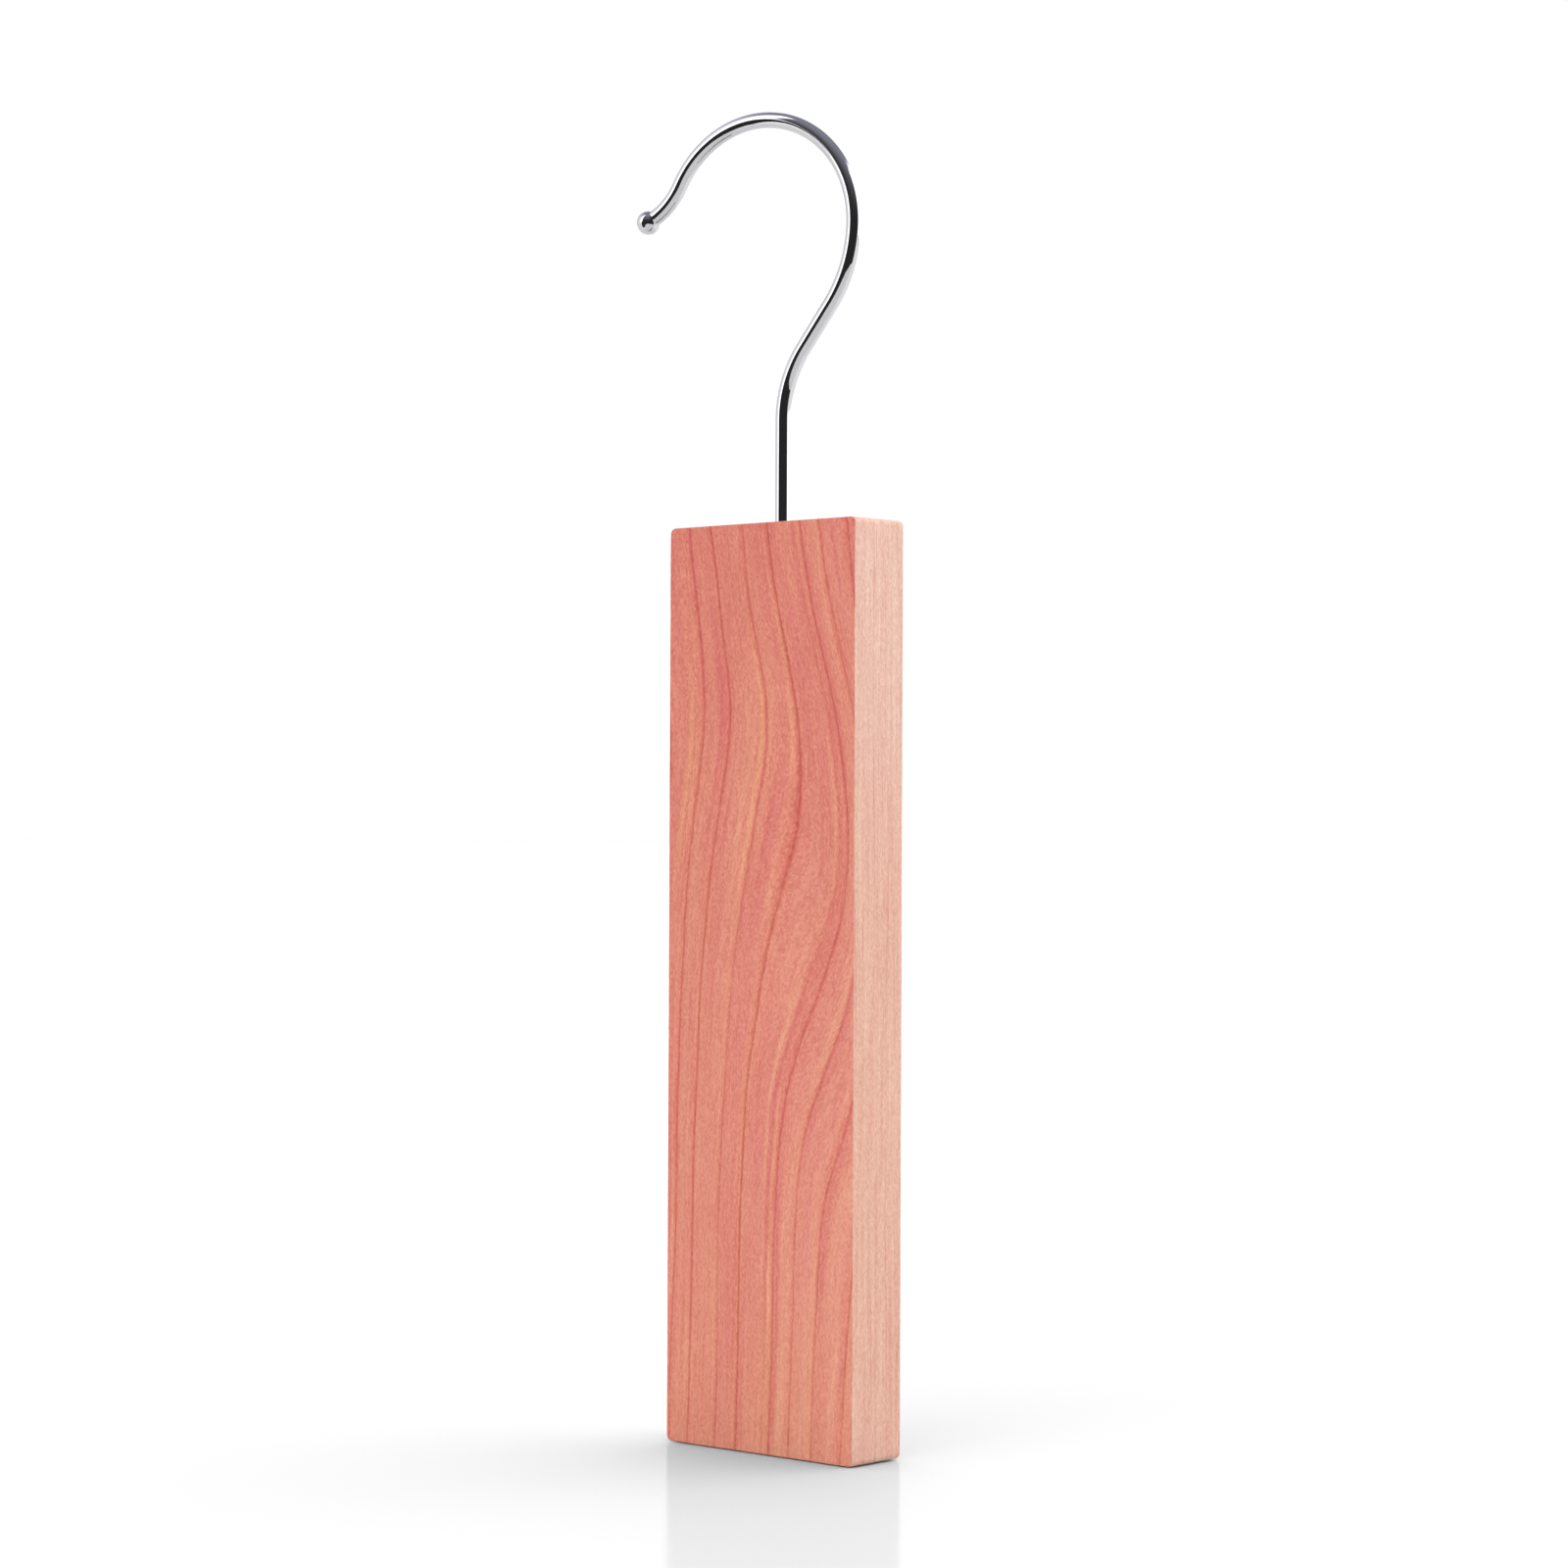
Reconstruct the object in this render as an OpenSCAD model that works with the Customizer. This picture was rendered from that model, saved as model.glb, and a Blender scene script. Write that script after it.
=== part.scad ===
// Cedar hanger block: a flat bar of aromatic cedar with a swivelling
// chromed wire hook in its top end, for hanging among clothes on a rail.
// The origin is the centre of the block's foot, with +Z up. The broad
// faces look along -Y and +Y, and the narrow faces along -X and +X.

/* [Cedar block] */

// Height of the block, foot to top
block_h = 200; // [120:1:260]
// Width of the broad face
block_w = 54; // [40:0.5:80]
// Thickness of the board
block_t = 15.6; // [14:0.1:25]
// Radius on the four corners of the broad face's outline
corner_r = 1.4; // [0.6:0.1:4]
// Radius of the eased long edges
edge_r = 0.25; // [0.1:0.05:0.5]

/* [Hook] */

// Diameter of the chromed wire
wire_d = 3.46; // [3:0.01:4]
// How far the hook is turned about its shank, from the broad faces' plane
hook_turn = 10.5; // [-180:0.5:180]
// Straight shank standing above the block
shank_rise = 22.7; // [12:0.1:40]
// Radius of the bend that leans the wire away from the shank
lean_r = 25.7; // [10:0.1:40]
// Angle through which the wire leans
lean_angle = 36.6; // [20:0.1:45]
// Straight stretch of the leaning wire
lean_len = 11.2; // [6:0.1:16]
// Radius of the easy bend that leads into the loop
ease_r = 29.9; // [24:0.1:40]
// Angle of the easy bend
ease_angle = 35.6; // [30:0.1:50]
// Radius of the loop, to the middle of the wire
loop_r = 23.7; // [20:0.1:28]
// Angle of the loop
loop_angle = 152.8; // [130:0.1:160]
// Radius of the out-turned tip
tip_r = 16.2; // [8:0.1:20]
// Angle of the out-turned tip
tip_angle = 33.6; // [20:0.1:60]
// Straight stretch between the tip's bend and the ball
tip_len = 2; // [0.4:0.1:4]
// How much the wire is drawn thinner, all round, in its bends
bend_thin = 0.01; // [0.005:0.005:0.03]
// Diameter of the ball headed on the wire's end
ball_d = 5.25; // [4:0.05:7]

/* [Swivel] */

// How far the drilled hole sits from the middle of the top, along its length
hole_shift = -0.7; // [-3:0.1:3]
// Outside diameter of the nylon bush, between its barbs
bush_d = 7.9; // [7:0.1:9]
// Length of the bush
bush_len = 22; // [16:0.5:30]
// How far each barb stands out into the wood
barb = 0.3; // [0.1:0.05:0.4]
// Number of barbs
barbs = 6; // [3:1:7]
// Radial running clearance between the shank and the bush
swivel_gap = 0.05; // [0.02:0.01:0.1]
// How far the bush is sunk below the top of the block
bush_sink = 0.2; // [0.1:0.1:1]
// Diameter of the head upset on the shank's lower end
head_d = 6; // [5:0.1:6.2]
// Height of that head
head_h = 2.3; // [1.5:0.1:3]

/* [Hidden] */

$fn = 64;
wire_r = wire_d / 2;
// how far a drawn bend runs into the stretches beside it
lap_len = 0.15;
// the bush, from its sunk top down
bush_top = block_h - bush_sink;
bush_foot = bush_top - bush_len;
// the drilled hole that takes it: a drill's cylinder and its 118 degree point
hole_r = bush_d / 2 + 0.05;
hole_foot = bush_foot - 0.3;
hole_point = hole_r / tan(59);
// the pocket in the bush's foot, where the shank's head turns
pocket_r = head_d / 2 + 0.3;
pocket_h = head_h + 0.1;
pocket_top = bush_foot + pocket_h;
head_top = pocket_top - 0.05;
bush_bore_r = wire_r + swivel_gap;
barb_pitch = (bush_len - 6) / barbs;

// a rectangle centred on the origin with true arcs at its corners
module round_rect(w, h, r) {
    square([w - 2 * r, h], center = true);
    square([w, h - 2 * r], center = true);
    for (sx = [-1, 1], sy = [-1, 1])
        translate([sx * (w / 2 - r), sy * (h / 2 - r)])
            circle(r);
}

// the solid bar: its outline, its plan and its side each cut from the same blank
module bar() {
    intersection() {
        translate([0, block_t / 2 + 1, block_h / 2])
            rotate([90, 0, 0])
                linear_extrude(block_t + 2)
                    round_rect(block_w, block_h, corner_r);
        translate([0, 0, -1])
            linear_extrude(block_h + 2)
                round_rect(block_w, block_t, edge_r);
        translate([-block_w / 2 - 1, 0, block_h / 2])
            rotate([90, 0, 90])
                linear_extrude(block_w + 2)
                    round_rect(block_t, block_h, edge_r);
    }
}

module cedar_block() {
    color([0.82, 0.52, 0.43])
        difference() {
            bar();
            // the hole for the swivel bush, with its drill point and a broken edge
            translate([hole_shift, 0, 0])
                rotate_extrude()
                    polygon([
                        [0, hole_foot - hole_point],
                        [hole_r, hole_foot],
                        [hole_r, block_h - 0.3],
                        [hole_r + 0.3, block_h],
                        [hole_r + 0.3, block_h + 1],
                        [0, block_h + 1]
                    ]);
        }
}

// a straight stretch of wire along +Z, whose end carries the children
module straight(len) {
    cylinder(h = len, r = wire_r);
    translate([0, 0, len]) children();
}

// a bend of the wire in the XZ plane, starting along +Z: a positive angle
// turns it towards -X and a negative one towards +X. A drawn bend is a
// hair thinner than the wire, and runs a little way into its neighbours.
module bend(r, angle, drawn = true) {
    side = angle > 0 ? -1 : 1;
    lap = drawn ? lap_len / r * 180 / PI : 0;
    sweep = abs(angle) + 2 * lap;
    translate([side * r, 0, 0])
        rotate([90, 0, 0])
            rotate_extrude(angle = sweep, start = (angle > 0 ? 0 : 180 + angle) - lap)
                translate([r, 0]) circle(drawn ? wire_r - bend_thin : wire_r);
    translate([side * r, 0, 0])
        rotate([0, -angle, 0])
            translate([-side * r, 0, 0])
                children();
}

module hook() {
    color([0.86, 0.86, 0.88])
        translate([hole_shift, 0, 0]) rotate([0, 0, hook_turn]) {
            // the upset head that holds the shank under the bush, and the shank
            rotate_extrude()
                polygon([
                    [0, head_top - head_h],
                    [head_d / 2 - 0.4, head_top - head_h],
                    [head_d / 2, head_top - head_h + 0.4],
                    [head_d / 2, head_top - 0.2],
                    [head_d / 2 - 0.2, head_top],
                    [0, head_top]
                ]);
            translate([0, 0, head_top - 1])
                straight(block_h - head_top + 1 + shank_rise)
                    bend(lean_r, -lean_angle)
                        straight(lean_len)
                            bend(ease_r, ease_angle)
                                bend(loop_r, loop_angle, drawn = false)
                                    bend(tip_r, -tip_angle)
                                        straight(tip_len)
                                            sphere(d = ball_d);
        }
}

module hook_bush() {
    r = bush_d / 2;
    color([0.85, 0.74, 0.60])
        translate([hole_shift, 0, 0]) rotate_extrude()
            polygon(concat(
                // up the bore, from the head's pocket to the eased mouth
                [
                    [pocket_r, bush_foot],
                    [pocket_r, pocket_top],
                    [bush_bore_r, pocket_top],
                    [bush_bore_r, bush_top - 0.4],
                    [bush_bore_r + 0.4, bush_top],
                    [r - 0.3, bush_top],
                    [r, bush_top - 0.3]
                ],
                // down the outside, over saw-tooth barbs that point to the mouth
                [
                    for (i = [0:barbs - 1])
                        let (z = bush_top - 2.5 - i * barb_pitch)
                            each [
                                [r, z],
                                [r + barb, z - 0.2],
                                [r + barb, z - 0.5],
                                [r, z - barb_pitch * 0.75]
                            ]
                ],
                [
                    [r, bush_foot + 0.6],
                    [r - 0.4, bush_foot]
                ]
            ));
}

cedar_block();
hook();
hook_bush();
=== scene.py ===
import math

import bmesh
import bpy
import numpy as np
from mathutils import Matrix, Vector


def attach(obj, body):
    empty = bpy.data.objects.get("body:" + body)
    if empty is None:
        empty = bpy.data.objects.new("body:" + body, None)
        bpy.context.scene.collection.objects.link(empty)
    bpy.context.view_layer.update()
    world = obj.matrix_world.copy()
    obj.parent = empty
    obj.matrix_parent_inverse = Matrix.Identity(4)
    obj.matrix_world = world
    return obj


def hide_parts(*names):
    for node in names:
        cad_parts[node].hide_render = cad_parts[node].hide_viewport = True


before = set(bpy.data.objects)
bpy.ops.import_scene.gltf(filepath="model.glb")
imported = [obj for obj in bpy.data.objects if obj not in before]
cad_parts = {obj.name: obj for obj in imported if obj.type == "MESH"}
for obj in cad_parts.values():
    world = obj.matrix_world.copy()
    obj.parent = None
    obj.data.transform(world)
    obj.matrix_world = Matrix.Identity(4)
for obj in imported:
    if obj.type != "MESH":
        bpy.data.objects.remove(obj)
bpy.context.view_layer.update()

MM = 0.001
scene = bpy.context.scene

# ---------------------------------------------------------------- sizes, mm, as in the CAD part
W, T, H = 54.0, 15.6, 200.0
CORNER, EDGE = 1.4, 0.25
HOLE_X = -0.7
TURN = math.radians(10.5)
WIRE_R = 1.73
BALL_R = 2.625
HEAD_Z, HEAD_H, HEAD_R = 177.85, 2.3, 3.0


# ---------------------------------------------------------------- light levels
WORLD = 1.0
BANK = 2.3
SUN_TOP = 1.5
SUN_KEY = 0.86
SUN_FILL = 0.5
EVEN, EVEN_SIDE = 0.58, 0.06
FLOOR_ALBEDO = 0.80
FLOOR_GLOSS = 0.11
FLOOR_Z = -0.00025   # the sawn foot never quite meets the floor, which draws a thin dark line under it

# ================================================================ node graph helpers
class Val:
    """A float or vector socket with arithmetic on it."""

    def __init__(self, graph, socket):
        self.g, self.s = graph, socket

    def __add__(self, o): return self.g.math("ADD", self, o)
    def __radd__(self, o): return self.g.math("ADD", o, self)
    def __sub__(self, o): return self.g.math("SUBTRACT", self, o)
    def __rsub__(self, o): return self.g.math("SUBTRACT", o, self)
    def __mul__(self, o): return self.g.math("MULTIPLY", self, o)
    def __rmul__(self, o): return self.g.math("MULTIPLY", o, self)
    def __truediv__(self, o): return self.g.math("DIVIDE", self, o)
    def __neg__(self): return self.g.math("MULTIPLY", self, -1.0)


class Graph:
    def __init__(self, tree):
        self.t = tree
        self.count = 0

    def node(self, kind, **props):
        n = self.t.nodes.new(kind)
        for k, v in props.items():
            setattr(n, k, v)
        n.location = (180 * (self.count % 40), -160 * (self.count // 40))
        n.hide = True
        self.count += 1
        return n

    def put(self, socket, value):
        if isinstance(value, Val):
            self.t.links.new(value.s, socket)
        elif value is not None:
            socket.default_value = value

    def math(self, op, a, b=None, c=None):
        n = self.node("ShaderNodeMath", operation=op)
        for i, v in enumerate((a, b, c)):
            if v is not None:
                self.put(n.inputs[i], v)
        return Val(self, n.outputs[0])

    def vmath(self, op, a, b=None, c=None):
        n = self.node("ShaderNodeVectorMath", operation=op)
        for i, v in enumerate((a, b, c)):
            if v is not None:
                self.put(n.inputs[i], v)
        return Val(self, n.outputs[0])

    def madd(self, weight, offset, base):
        """base + weight * offset, where offset is three numbers."""
        return self.vmath("MULTIPLY_ADD", weight, tuple(offset), base)

    def step(self, v, lo, hi, to_lo=0.0, to_hi=1.0, smooth=True):
        n = self.node("ShaderNodeMapRange", interpolation_type="SMOOTHSTEP" if smooth else "LINEAR", clamp=True)
        self.put(n.inputs[0], v)
        for i, k in enumerate((lo, hi, to_lo, to_hi)):
            self.put(n.inputs[i + 1], k)
        return Val(self, n.outputs[0])

    def exp(self, v):
        return self.math("EXPONENT", v)

    def gauss(self, v, centre, width):
        d = (v - centre) * (1.0 / width)
        return self.exp(-(d * d))

    def abs(self, v):
        return self.math("ABSOLUTE", v)

    def max(self, a, b):
        return self.math("MAXIMUM", a, b)

    def min(self, a, b):
        return self.math("MINIMUM", a, b)

    def xyz(self, x, y, z):
        n = self.node("ShaderNodeCombineXYZ")
        for i, v in enumerate((x, y, z)):
            self.put(n.inputs[i], v)
        return Val(self, n.outputs[0])

    def split(self, v):
        n = self.node("ShaderNodeSeparateXYZ")
        self.put(n.inputs[0], v)
        return [Val(self, o) for o in n.outputs]

    def noise(self, vec, scale=1.0, detail=2.0, rough=0.5, distort=0.0):
        """Noise from about -1 to 1."""
        n = self.node("ShaderNodeTexNoise", noise_dimensions="3D")
        self.put(n.inputs["Vector"], vec)
        n.inputs["Scale"].default_value = scale
        n.inputs["Detail"].default_value = detail
        n.inputs["Roughness"].default_value = rough
        n.inputs["Distortion"].default_value = distort
        return (Val(self, n.outputs[0]) - 0.5) * 2.0

    def voronoi(self, vec, scale=1.0, rand=1.0):
        n = self.node("ShaderNodeTexVoronoi", voronoi_dimensions="3D", feature="F1")
        self.put(n.inputs["Vector"], vec)
        n.inputs["Scale"].default_value = scale
        n.inputs["Randomness"].default_value = rand
        return Val(self, n.outputs["Distance"])

    def cells(self, vec):
        """A random level from -1 to 1 for each small cell."""
        n = self.node("ShaderNodeTexVoronoi", voronoi_dimensions="3D", feature="F1")
        self.put(n.inputs["Vector"], vec)
        n.inputs["Scale"].default_value = 1.0
        return (self.split(Val(self, n.outputs["Color"]))[0] - 0.5) * 2.0

    def curve(self, v, xs, ys):
        """A smooth curve through (xs, ys), all from 0 to 1."""
        n = self.node("ShaderNodeFloatCurve")
        m = n.mapping
        pts = m.curves[0].points
        pts[0].location = (xs[0], ys[0])
        pts[1].location = (xs[-1], ys[-1])
        for x, y in zip(xs[1:-1], ys[1:-1]):
            pts.new(float(x), float(y))
        for p in pts:
            p.handle_type = "AUTO"
        m.update()
        self.put(n.inputs["Value"], v)
        return Val(self, n.outputs[0])

    def bump(self, height, distance, strength=1.0, normal=None):
        n = self.node("ShaderNodeBump")
        n.inputs["Strength"].default_value = strength
        n.inputs["Distance"].default_value = distance
        self.put(n.inputs["Height"], height)
        if normal is not None:
            self.put(n.inputs["Normal"], normal)
        return Val(self, n.outputs[0])


def new_material(name):
    mat = bpy.data.materials.new(name)
    mat.use_nodes = True
    nt = mat.node_tree
    nt.nodes.clear()
    out = nt.nodes.new("ShaderNodeOutputMaterial")
    bsdf = nt.nodes.new("ShaderNodeBsdfPrincipled")
    nt.links.new(bsdf.outputs[0], out.inputs["Surface"])
    g = Graph(nt)
    return mat, g, bsdf


def object_mm(g):
    """The object's own coordinates, in millimetres."""
    tc = g.node("ShaderNodeTexCoord")
    return g.vmath("MULTIPLY", Val(g, tc.outputs["Object"]), (1000.0, 1000.0, 1000.0))


# ================================================================ natural cubic spline, for the grain's drift
def natural_spline(xk, yk, x):
    xk, yk, x = (np.asarray(v, float) for v in (xk, yk, x))
    n = len(xk)
    h = np.diff(xk)
    A = np.zeros((n, n))
    b = np.zeros(n)
    A[0, 0] = A[-1, -1] = 1
    for i in range(1, n - 1):
        A[i, i - 1], A[i, i], A[i, i + 1] = h[i - 1], 2 * (h[i - 1] + h[i]), h[i]
        b[i] = 6 * ((yk[i + 1] - yk[i]) / h[i] - (yk[i] - yk[i - 1]) / h[i - 1])
    m = np.linalg.solve(A, b)
    k = np.clip(np.searchsorted(xk, x) - 1, 0, n - 2)
    hk, l, r = h[k], xk[k + 1] - x, x - xk[k]
    return (m[k] * l ** 3 + m[k + 1] * r ** 3) / (6 * hk) + (yk[k] / hk - m[k] * hk / 6) * l + (yk[k + 1] / hk - m[k + 1] * hk / 6) * r


# ================================================================ the cedar
# The tree's rings are cylinders about a pith outside the board, that drift
# sideways along the board. ring position = x' - drift(x', z).
PITH = (-95.0, -85.0)
DRIFT_X = [-30, -18, -6, 6, 18, 30, 42]
DRIFT_Z = [0, 20, 40, 60, 80, 95, 110, 125, 140, 160, 180, 200]
DRIFT = [
    [1.5, 0.8, 2.5, 3.2, 2.7, 3.4, 3.0, 3.2, 3.3, 1.9, -0.4, 3.6],
    [-0.9, 0.6, 0.1, 0.0, 1.0, 1.0, 2.2, 2.9, 4.5, 6.3, 7.6, 3.0],
    [0.4, -0.2, 0.3, 0.7, 1.3, 2.0, 2.5, 4.3, 5.3, 6.3, 2.7, 2.9],
    [0.1, 1.1, 1.1, 1.7, 2.3, 4.0, 5.3, 5.4, 6.8, 7.7, 7.9, 5.9],
    [-0.2, -0.3, 0.4, 0.6, 4.3, 6.8, 9.7, 12.8, 12.6, 11.0, 6.0, 2.2],
    [0.4, 1.4, 2.4, 6.6, 8.4, 10.3, 11.6, 12.0, 11.6, 7.8, 5.3, 6.4],
    [-0.8, 0.6, 2.6, 3.5, 6.5, 7.8, 8.5, 8.5, 8.3, 9.4, 10.1, 8.0],
]
# the latewood lines: ring position, strength
LINES = [
    (-46.0, 0.6), (-39.5, 0.7), (-33.2, 0.7), (-26.9, 0.8), (-20.9, 0.85), (-12.5, 0.6), (-6.4, 1.0), (0.9, 0.35),
    (3.1, 0.75), (8.8, 0.7), (15.4, 0.8), (23.7, 0.8), (29.7, 0.7), (35.0, 0.8), (41.0, 0.6), (47.0, 0.7),
]
# resin-yellow streaks: ring position, width, middle z, half length, strength
STREAKS = [
    (-29.6, 0.9, 145, 35, 1.0), (-13.8, 0.8, 155, 30, 0.8), (1.7, 0.35, 35, 45, 0.9),
    (2.3, 0.3, 30, 40, 0.6), (-6.9, 0.4, 35, 40, 0.6),
]
# pinkish bands: ring position, width, middle z, half length, strength
BLUSH = [
    (-22.5, 1.6, 158, 24, 0.55), (-9.0, 1.8, 110, 80, 0.4), (4.0, 0.7, 35, 30, 0.8), (9.7, 0.9, 90, 60, 0.4),
    (16.2, 0.9, 60, 60, 0.35),
]
LIGHT_BROAD = 1.0   # how strongly the studio light falls on the broad faces
LIGHT_NARROW = 1.0   # and on the narrow ones


def cedar_material():
    mat, g, bsdf = new_material("cedar")
    P = object_mm(g)
    x, y, z = g.split(P)

    # ring position
    dx, dy = x - PITH[0], y - PITH[1]
    front = (-T / 2 - PITH[1]) ** 2
    xr = g.math("SQRT", g.max(dx * dx + dy * dy - front, 1.0)) + PITH[0]
    zs = np.linspace(0, 200, 81)
    zn = z * (1 / 200.0)
    drift = None
    for xc, row in zip(DRIFT_X, DRIFT):
        c = natural_spline(DRIFT_Z, row, zs)
        cz = g.curve(zn, zs / 200.0, (c + 2.0) / 16.0) * 16.0 - 2.0
        term = g.gauss(xr, xc, 13.0) * cz
        drift = term if drift is None else drift + term
    wob = g.noise(g.xyz(xr * 0.05, y * 0.05, z * 0.045), detail=2.0) * 0.30
    wob2 = g.noise(g.xyz(xr * 0.45, y * 0.3, z * 0.11), detail=2.0, rough=0.6) * 0.16
    a = xr - drift + wob + wob2

    # which ring, and how far to the latewood lines on both sides of it
    left, right = LINES[0][0], LINES[1][0]
    s_left, s_right = LINES[0][1], LINES[1][1]
    for i in range(1, len(LINES) - 1):
        st = g.math("GREATER_THAN", a, LINES[i][0])
        left = g.math("MULTIPLY_ADD", st, LINES[i][0] - LINES[i - 1][0], left)
        right = g.math("MULTIPLY_ADD", st, LINES[i + 1][0] - LINES[i][0], right)
        s_left = g.math("MULTIPLY_ADD", st, LINES[i][1] - LINES[i - 1][1], s_left)
        s_right = g.math("MULTIPLY_ADD", st, LINES[i + 1][1] - LINES[i][1], s_right)
    d_right = g.max(right - a, 0.0)
    d_left = g.max(a - left, 0.0)
    phase = d_left / g.max(right - left, 0.1)
    # a line's strength comes and goes along the board
    waver = g.noise(g.xyz(right * 0.31, y * 0.04, z * 0.035), detail=1.0) * 0.35 + 1.0
    waver_l = g.noise(g.xyz(left * 0.31, y * 0.04, z * 0.035), detail=1.0) * 0.35 + 1.0
    s_right, s_left = s_right * waver, s_left * waver_l
    rough_edge = g.noise(g.xyz(a * 1.2, y * 0.8, z * 0.9), detail=2.0) * 0.10
    dR, dL = d_right + rough_edge, d_left + rough_edge
    late = g.exp(dR * (-1 / 0.95)) * s_right
    core = g.exp(-(dR * dR) * (1 / 0.16)) * s_right
    core_l = g.exp(-(dL * dL) * (1 / 0.035)) * s_left
    early = g.exp(dL * (-1 / 0.55)) * s_left

    # soft patches, drawn out along the grain
    patch = g.noise(g.xyz(a * 0.11, y * 0.06, z * 0.017), detail=2.0, rough=0.5)
    patch2 = g.noise(g.xyz(a * 0.33 + 7.0, y * 0.2, z * 0.014), detail=2.0, rough=0.55)
    streak = g.noise(g.xyz(a * 1.3, y * 0.9, z * 0.035), detail=3.0, rough=0.6)
    fibre = g.noise(g.xyz(a * 3.6, y * 3.0, z * 0.22), detail=2.0, rough=0.6)
    speck = g.noise(g.xyz(a * 2.8, y * 2.8, z * 0.7), detail=3.0, rough=0.75)
    grit = g.cells(g.xyz(a * 4.4, y * 4.4, z * 1.5 + 5.0)) + g.cells(g.xyz(a * 2.1, y * 2.1, z * 0.30 + 2.0)) * 0.25
    bands = g.noise(g.xyz(a * 0.62, y * 0.4, z * 0.012 + 3.0), detail=2.0, rough=0.6)
    # tiny resin cells: short dark dashes along the grain
    dash = g.step(g.noise(g.xyz(a * 5.0, y * 5.0, z * 0.75 + 31.0), detail=1.0), 0.46, 0.75)

    yellow = None
    for pa, wd, mz, hz, s in STREAKS:
        t = g.gauss(a, pa, wd * 0.62) * g.gauss(z, mz, hz) * s
        yellow = t if yellow is None else yellow + t
    yellow = yellow * g.step(streak, -0.6, 0.25, 0.45, 1.0)
    blush = None
    for pa, wd, mz, hz, s in BLUSH:
        t = g.gauss(a, pa, wd * 0.7) * g.gauss(z, mz, hz) * s
        blush = t if blush is None else blush + t

    # where on the board: narrow sides, sawn ends
    side = g.max(g.step(g.abs(x), W / 2 - 0.24, W / 2 - 0.06), 1.0 - g.step(g.abs(y), T / 2 - 0.24, T / 2 - 0.06))
    end = g.step(g.abs(z - H / 2), H / 2 - 0.08, H / 2 - 0.015)

    def k(*c):
        return tuple(v / 255.0 for v in c)

    orange, mauve = g.max(patch, 0.0), g.max(-patch, 0.0)
    orange2, mauve2 = g.max(patch2, 0.0), g.max(-patch2, 0.0)
    # painted light and shade: the upper half is made darker on the broad faces and lighter on the narrow ones, as
    # the studio light falls
    top = g.step(z, 95.0, 200.0)
    bright = g.gauss(a, 12.6, 2.6) * 0.9 + g.gauss(a, 20.5, 3.0) + g.gauss(a, 6.6, 2.2) * 0.5
    late_side = g.step(phase, 0.35, 0.75) * (1.0 - late)
    # the warm stripe that comes just before each latewood line
    glow = g.gauss(d_right, 1.30, 0.62) * g.step(streak + bands * 0.8, -0.35, 0.60, 0.0, 1.0)

    broad = g.madd(late, k(-4, -10, -11), k(226, 139.5, 120))
    broad = g.madd(core, k(-20, -33, -26), broad)
    broad = g.madd(core_l, k(-13, -21, -17), broad)
    broad = g.madd(early, k(-3, -8, -5), broad)
    broad = g.madd(late_side, k(1.0, 1, 1.0), broad)
    broad = g.madd(glow, k(6, 14, 5), broad)
    broad = g.madd(g.gauss(z, 0.0, 24.0), k(4, 4, 0), broad)
    broad = g.madd(bright, k(4, 9, 8), broad)
    broad = g.madd(orange, k(3, 13, 6), broad)
    broad = g.madd(mauve, k(-8, -16, -4), broad)
    broad = g.madd(orange2, k(4, 17, 8), broad)
    broad = g.madd(mauve2, k(-7, -16, -4), broad)
    broad = g.madd(yellow, k(6, 18, 1), broad)
    broad = g.madd(blush, k(-8, -18, -6), broad)
    # painted shade: the upper half of the broad faces darker
    broad = g.madd(top, k(-7, -9, -7), broad)
    broad = g.madd(g.gauss(x, -8.0, 8.0) * g.gauss(z, 195.0, 30.0), k(-4, -7, -4), broad)
    broad = g.madd(g.gauss(x, 20.0, 8.0) * g.gauss(z, 130.0, 32.0), k(-5, -5, -3), broad)
    broad = g.madd(g.gauss(z, 112.0, 60.0) * g.step(x, 8.0, -22.0), k(-6, -7, -5), broad)
    broad = g.madd(streak, k(6, 14, 10), broad)
    broad = g.madd(bands, k(4, 12, 6), broad)
    broad = g.madd(fibre, k(5, 9, 8), broad)
    broad = g.madd(dash, k(-11, -16, -14), broad)
    broad = g.madd(speck, k(6, 9, 9), broad)
    broad = g.madd(grit, k(8, 11, 11), broad)

    # the narrow sides: paler, with a quieter figure; the paler tone is a painted highlight for the stronger light
    # that falls on them from the right
    v_streak = g.noise(g.xyz(x * 0.3, y * 0.9 + 3.0, z * 0.02), detail=3.0, rough=0.6)
    n_fibre = g.noise(g.xyz(x * 2.0, y * 2.3, z * 0.035), detail=2.0, rough=0.6)
    n_patch = g.noise(g.xyz(x * 0.1, y * 0.12 + 9.0, z * 0.02), detail=2.0)
    narrow = g.madd(late, k(-2, -4, -4), k(234, 181.5, 160.5))
    narrow = g.madd(core, k(-3, -5, -5), narrow)
    narrow = g.madd(early, k(-1, -2, -1), narrow)
    narrow = g.madd(n_patch, k(2, 4, 3), narrow)
    narrow = g.madd(v_streak, k(9, 21, 20), narrow)
    narrow = g.madd(g.step(-v_streak, 0.10, 0.45), k(-6, -11, -11), narrow)
    narrow = g.madd(g.step(fibre * 0.5 + n_fibre, 0.35, 0.8), k(3, 6, 7), narrow)
    # painted light: the upper half of the narrow faces lighter
    narrow = g.madd(top, k(5, 13, 16), narrow)
    narrow = g.madd(fibre, k(6, 12, 11), narrow)
    narrow = g.madd(n_fibre, k(10, 20, 19), narrow)
    narrow = g.madd(dash, k(-5, -9, -9), narrow)
    narrow = g.madd(speck, k(7, 11, 11), narrow)
    narrow = g.madd(grit, k(9, 14, 14), narrow)

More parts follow.
